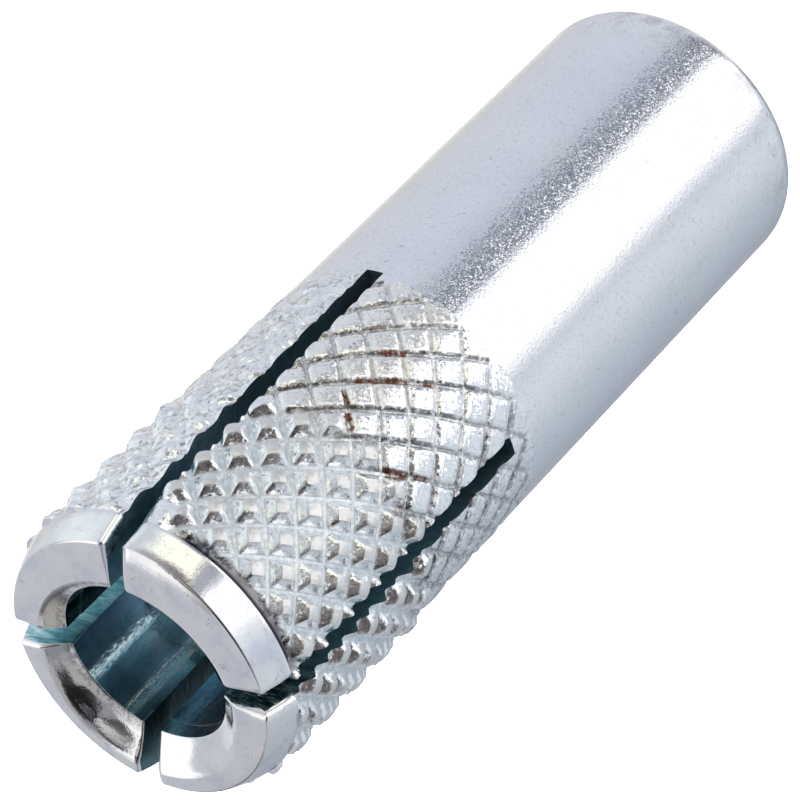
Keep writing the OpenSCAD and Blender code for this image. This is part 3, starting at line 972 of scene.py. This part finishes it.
def finish_saw(m):
    t = Tree(m.node_tree)
    p = t.coords()
    x, y, z = t.xyz(p)
    lines = t.noise(t.scale(p, (0.25, 0.25, 1)), 3000.0, 3.0, 0.7)
    grain = t.noise(p, 1800.0, 3.0, 0.6)
    normal = t.bump(lines, 0.4, 0.0001)
    normal = t.bump(grain, 0.4, 0.00005, normal)
    tint = t.ramp(grain, [(0.3, (0.32, 0.49, 0.56)), (0.7, (0.46, 0.68, 0.74))])
    # the first cut is darker in its middle, and both are paler at the bottom
    middle = t.math("MULTIPLY", t.between(z, 0.0300, 0.0325), t.between(z, 0.0370, 0.0400, 1.0, 0.0))
    middle = t.math("MULTIPLY", middle, t.math("MULTIPLY", t.between(x, 0.001, 0.002), t.between(y, -0.0006, -0.0003)))
    tint = t.mix(middle, tint, (0.24, 0.38, 0.43, 1))
    tint = t.mix(t.between(z, 0.0283, 0.0295, 1.0, 0.0), tint, (0.44, 0.54, 0.60, 1))
    # painted light: near the tip and the axis the walls are paler, and on the far walls (+Y) the saw lines carry white
    # painted highlights
    far = t.between(y, 0.0, 0.001)
    tip = t.between(t.math("ADD", z, t.math("MULTIPLY", far, 0.006)), 0.0445, 0.0485)
    side = t.between(t.math("ABSOLUTE", x), 0.0016, 0.0032, 1.0, 0.0)
    lit = t.ramp(lines, [(0.35, (0.27, 0.47, 0.52)), (0.52, (0.52, 0.80, 0.84)), (0.66, (0.90, 1.0, 1.0))])
    lit = t.mix(far, t.ramp(lines, [(0.40, (0.05, 0.10, 0.12)), (0.52, (0.22, 0.42, 0.46)), (0.60, (1.0, 1.0, 1.0))]), lit)
    # painted shade on the walls of the first cut on the -X side
    tint = t.mix(t.between(x, -0.0014, -0.0018), tint, (0.10, 0.18, 0.20, 1))
    color = t.mix(t.math("MULTIPLY", tip, side), tint, lit)
    # a chipped corner of the leaf beside the first cut
    chip = t.math("MULTIPLY", t.between(z, 0.0482, 0.0488), t.math("MULTIPLY", t.between(x, 0.0062, 0.0067), t.between(y, 0.0006, 0.0008)))
    color = t.mix(chip, color, t.ramp(t.noise(p, 2600.0, 3.0, 0.7), [(0.38, (0.12, 0.20, 0.22)), (0.52, (0.60, 0.74, 0.76)), (0.64, (1.0, 1.0, 1.0))]))
    t.metal(color, 0.36, normal)


def finish_turned(m, colour_lo, colour_hi, rough):
    t = Tree(m.node_tree)
    p = t.coords()
    rings = t.noise(t.scale(p, (0.02, 0.02, 1)), 3500.0, 2.0, 0.6)
    grain = t.noise(p, 1500.0, 3.0, 0.5)
    normal = t.bump(rings, 0.35, 0.00004)
    normal = t.bump(grain, 0.2, 0.00004, normal)
    t.metal(t.ramp(grain, [(0.3, colour_lo), (0.7, colour_hi)]), rough, normal)


finish_body(MAT["zinc_body"])
finish_knurl(MAT["zinc_knurl"])
finish_face(MAT["zinc_face"])
finish_face(MAT["zinc_sink"], 0.04, 0.07, 0.6, 0.00007, True)
finish_bore(MAT["zinc_bore"])
finish_saw(MAT["saw_wall"])
finish_turned(MAT["thread_wall"], (0.62, 0.64, 0.68), (0.74, 0.76, 0.80), 0.22)
finish_turned(MAT["plug_steel"], (0.50, 0.52, 0.56), (0.62, 0.64, 0.68), 0.25)

# ------------------------------------------------------------------ floor, camera, light
bpy.ops.mesh.primitive_plane_add(size=4.0, location=(0, 0, -0.00001))
floor = bpy.context.object
floor.name = "floor"
fm = bpy.data.materials.new("floor")
fm.use_nodes = True
fb = fm.node_tree.nodes["Principled BSDF"]
fb.inputs["Base Color"].default_value = (0.90, 0.90, 0.90, 1)
fb.inputs["Roughness"].default_value = 0.9
fb.inputs["Specular IOR Level"].default_value = 0.0
fb.inputs["Emission Color"].default_value = (1.0, 1.0, 1.0, 1)
fb.inputs["Emission Strength"].default_value = 0.92
floor.data.materials.append(fm)
floor.visible_glossy = False
floor.visible_shadow = False

# The camera looks at the part from beyond its slotted end, rolled so that this
# end is at the picture's lower left.
P0 = np.array([-1.5677, 1.6081, 27.4657])
AX = np.array([0.5474, -0.555, 0.6264])
AX /= np.linalg.norm(AX)
UP = np.array([0, -1.0, 0])
U0 = UP - AX * (UP @ AX)
U0 /= np.linalg.norm(U0)
V0 = np.cross(AX, U0)
Zo = -AX
Xo = math.cos(math.radians(19.8)) * U0 + math.sin(math.radians(19.8)) * V0
Yo = np.cross(Zo, Xo)
eye = np.array([0, 0, 0.05]) + 0.008 * np.array([-P0 @ Xo, -P0 @ Yo, -P0 @ Zo])
cam_data = bpy.data.cameras.new("camera")
cam = bpy.data.objects.new("camera", cam_data)
scene.collection.objects.link(cam)
cam_data.sensor_width = 36.0
cam_data.lens = 4584.06 / 800 * 36.0
cam_data.clip_start, cam_data.clip_end = 0.01, 10
right = np.array([Xo[0], Yo[0], Zo[0]])
up = -np.array([Xo[1], Yo[1], Zo[1]])
fwd = np.array([Xo[2], Yo[2], Zo[2]])
cam.matrix_world = Matrix([[right[k], up[k], -fwd[k], eye[k]] for k in range(3)] + [[0, 0, 0, 1]])
scene.camera = cam

# The studio: one pale room whose panels are set by direction. Azimuth is in
# degrees from +X round to +Y, and it runs 0 to 1 along the ramp from -180.
world = bpy.data.worlds.new("studio")
scene.world = world
world.use_nodes = True
world.node_tree.nodes.clear()
w = Tree(world.node_tree)
direction = w.node("ShaderNodeTexCoord").outputs["Generated"]
wx, wy, wz = w.xyz(direction)
azimuth = w.math("ADD", w.math("DIVIDE", w.math("ARCTAN2", wy, wx), 2 * math.pi), 0.5)
elev = w.math("ARCSINE", wz)


def az(deg):
    return ((deg + 180) % 360) / 360


# One ramp for each height in the room, from under the part up to overhead.
LOW = [(-174, (0.41, 0.46, 0.52)), (-162, (0.455, 0.51, 0.58)), (-138, (0.54, 0.60, 0.67)), (-114, (0.69, 0.75, 0.81)), (-98, (0.73, 0.78, 0.86)),
       (-92, (0.68, 0.73, 0.81)), (-88, (0.62, 0.66, 0.74)), (-84, (0.74, 0.78, 0.85)), (-79, (0.98, 0.98, 1.0)), (-74, (1.3, 1.3, 1.32)), (-23.5, (1.35, 1.35, 1.37)),
       (-19.5, (0.56, 0.59, 0.66)), (-15.5, (0.25, 0.28, 0.34)), (-9, (0.18, 0.20, 0.26)), (-2, (0.29, 0.315, 0.38)), (6, (0.55, 0.58, 0.66)), (15, (0.61, 0.65, 0.73)), (32, (0.66, 0.70, 0.79)),
       (88, (0.67, 0.70, 0.78)), (104, (0.66, 0.67, 0.69)), (114, (0.66, 0.66, 0.67)), (120, (0.75, 0.75, 0.76)), (128, (0.93, 0.93, 0.94)), (140, (0.80, 0.80, 0.82)), (148, (0.47, 0.485, 0.53)),
       (158, (0.40, 0.425, 0.48)), (166, (0.40, 0.43, 0.49)), (174, (0.375, 0.41, 0.49))]
MID = [(-174, (0.38, 0.42, 0.48)), (-157, (0.45, 0.50, 0.55)), (-135, (0.52, 0.57, 0.63)), (-120, (0.60, 0.65, 0.70)), (-84, (0.68, 0.73, 0.80)), (-70, (0.85, 0.90, 0.95)),
       (-62, (1.3, 1.3, 1.32)), (-38, (1.3, 1.3, 1.32)), (-31, (0.42, 0.44, 0.50)), (-23, (0.46, 0.47, 0.52)), (-18, (1.25, 1.25, 1.05)), (9, (1.2, 1.21, 1.05)),
       (15, (0.80, 0.84, 0.86)), (28, (0.64, 0.68, 0.75)), (45, (0.72, 0.78, 0.83)), (60, (0.86, 0.93, 0.98)), (82, (0.86, 0.92, 0.96)), (97, (0.70, 0.74, 0.80)), (120, (0.85, 0.85, 0.87)), (150, (0.5, 0.52, 0.56))]
UP = [(-174, (0.42, 0.41, 0.37)), (-157, (0.46, 0.50, 0.55)), (-135, (0.52, 0.57, 0.63)), (-113, (0.42, 0.46, 0.50)), (-98, (0.33, 0.34, 0.36)), (-87, (0.22, 0.215, 0.22)), (-74, (0.13, 0.12, 0.125)),
      (-62, (0.10, 0.09, 0.095)), (-41, (0.15, 0.135, 0.135)), (-26, (0.18, 0.16, 0.165)), (-13, (0.24, 0.215, 0.22)), (0, (0.33, 0.32, 0.325)), (14, (0.44, 0.45, 0.46)), (28, (0.55, 0.58, 0.61)),
      (40, (0.67, 0.72, 0.76)), (52, (0.80, 0.87, 0.91)), (62, (0.88, 0.95, 1.0)), (80, (0.84, 0.91, 0.95)), (98, (0.60, 0.64, 0.68)), (130, (0.58, 0.61, 0.66)), (148, (0.54, 0.55, 0.60)), (158, (0.20, 0.20, 0.22)), (167, (0.13, 0.13, 0.14)), (175, (0.38, 0.37, 0.34))]
HIGH = [(-174, (0.22, 0.24, 0.27)), (-140, (0.34, 0.35, 0.38)), (-90, (0.10, 0.09, 0.09)), (-40, (0.03, 0.028, 0.03)), (10, (0.20, 0.19, 0.19)), (46, (0.6, 0.6, 0.62)), (66, (1.25, 1.25, 1.25)),
        (116, (1.3, 1.3, 1.3)), (127, (0.95, 0.96, 0.98)), (134, (0.62, 0.64, 0.69)), (142, (0.57, 0.59, 0.64)), (158, (0.55, 0.56, 0.61))]
TOP = [(-174, 0.42), (-161, 0.42), (-151, 0.05), (-135, 0.015), (-132, (0.24, 0.23, 0.25)), (-123, (0.26, 0.25, 0.27)), (-119, 0.015), (-40, 0.02), (-14, (0.20, 0.13, 0.135)), (6, (0.42, 0.38, 0.38)), (36, 0.95), (112, 1.1), (126, 0.75), (142, (0.39, 0.385, 0.41)), (160, 0.42)]
ZENITH = [(-174, (0.05, 0.05, 0.055)), (-162, 0.015), (-132, 0.015), (-129, (0.24, 0.23, 0.25)), (-122, (0.26, 0.25, 0.27)), (-118, 0.015), (-86, 0.015), (-66, (0.15, 0.085, 0.09)), (-48, (0.18, 0.11, 0.115)),
          (-30, (0.62, 0.58, 0.58)), (4, (0.70, 0.68, 0.66)), (48, (0.62, 0.60, 0.60)), (88, 0.12), (112, 0.08), (128, (0.31, 0.31, 0.34)), (150, (0.31, 0.31, 0.34)), (166, 0.08)]
rings = [w.ramp(azimuth, sorted((az(a), c) for a, c in ring)) for ring in (LOW, MID, UP, HIGH, TOP, ZENITH)]
tone = rings[0]
for ring, lo, hi in ((rings[1], -26, -14), (rings[2], 8, 16), (rings[3], 36, 42), (rings[4], 52, 61), (rings[5], 69, 73)):
    tone = w.mix(w.between(elev, math.radians(lo), math.radians(hi)), tone, ring)
bg = w.node("ShaderNodeBackground")
w.link(tone, bg.inputs[0])
bg.inputs[1].default_value = 1.0
wo = w.node("ShaderNodeOutputWorld")
w.link(bg.outputs[0], wo.inputs[0])

key = bpy.data.lights.new("key", "AREA")
key.shape, key.size, key.energy = "DISK", 0.5, 12.0
key_ob = bpy.data.objects.new("key", key)
scene.collection.objects.link(key_ob)
key_ob.location = (0.1, -0.2, 0.9)
key_ob.rotation_euler = (Vector((0, 0, 0)) - Vector(key_ob.location)).to_track_quat("-Z", "Y").to_euler()
key_ob.visible_glossy = False

scene.view_settings.view_transform = "Standard"
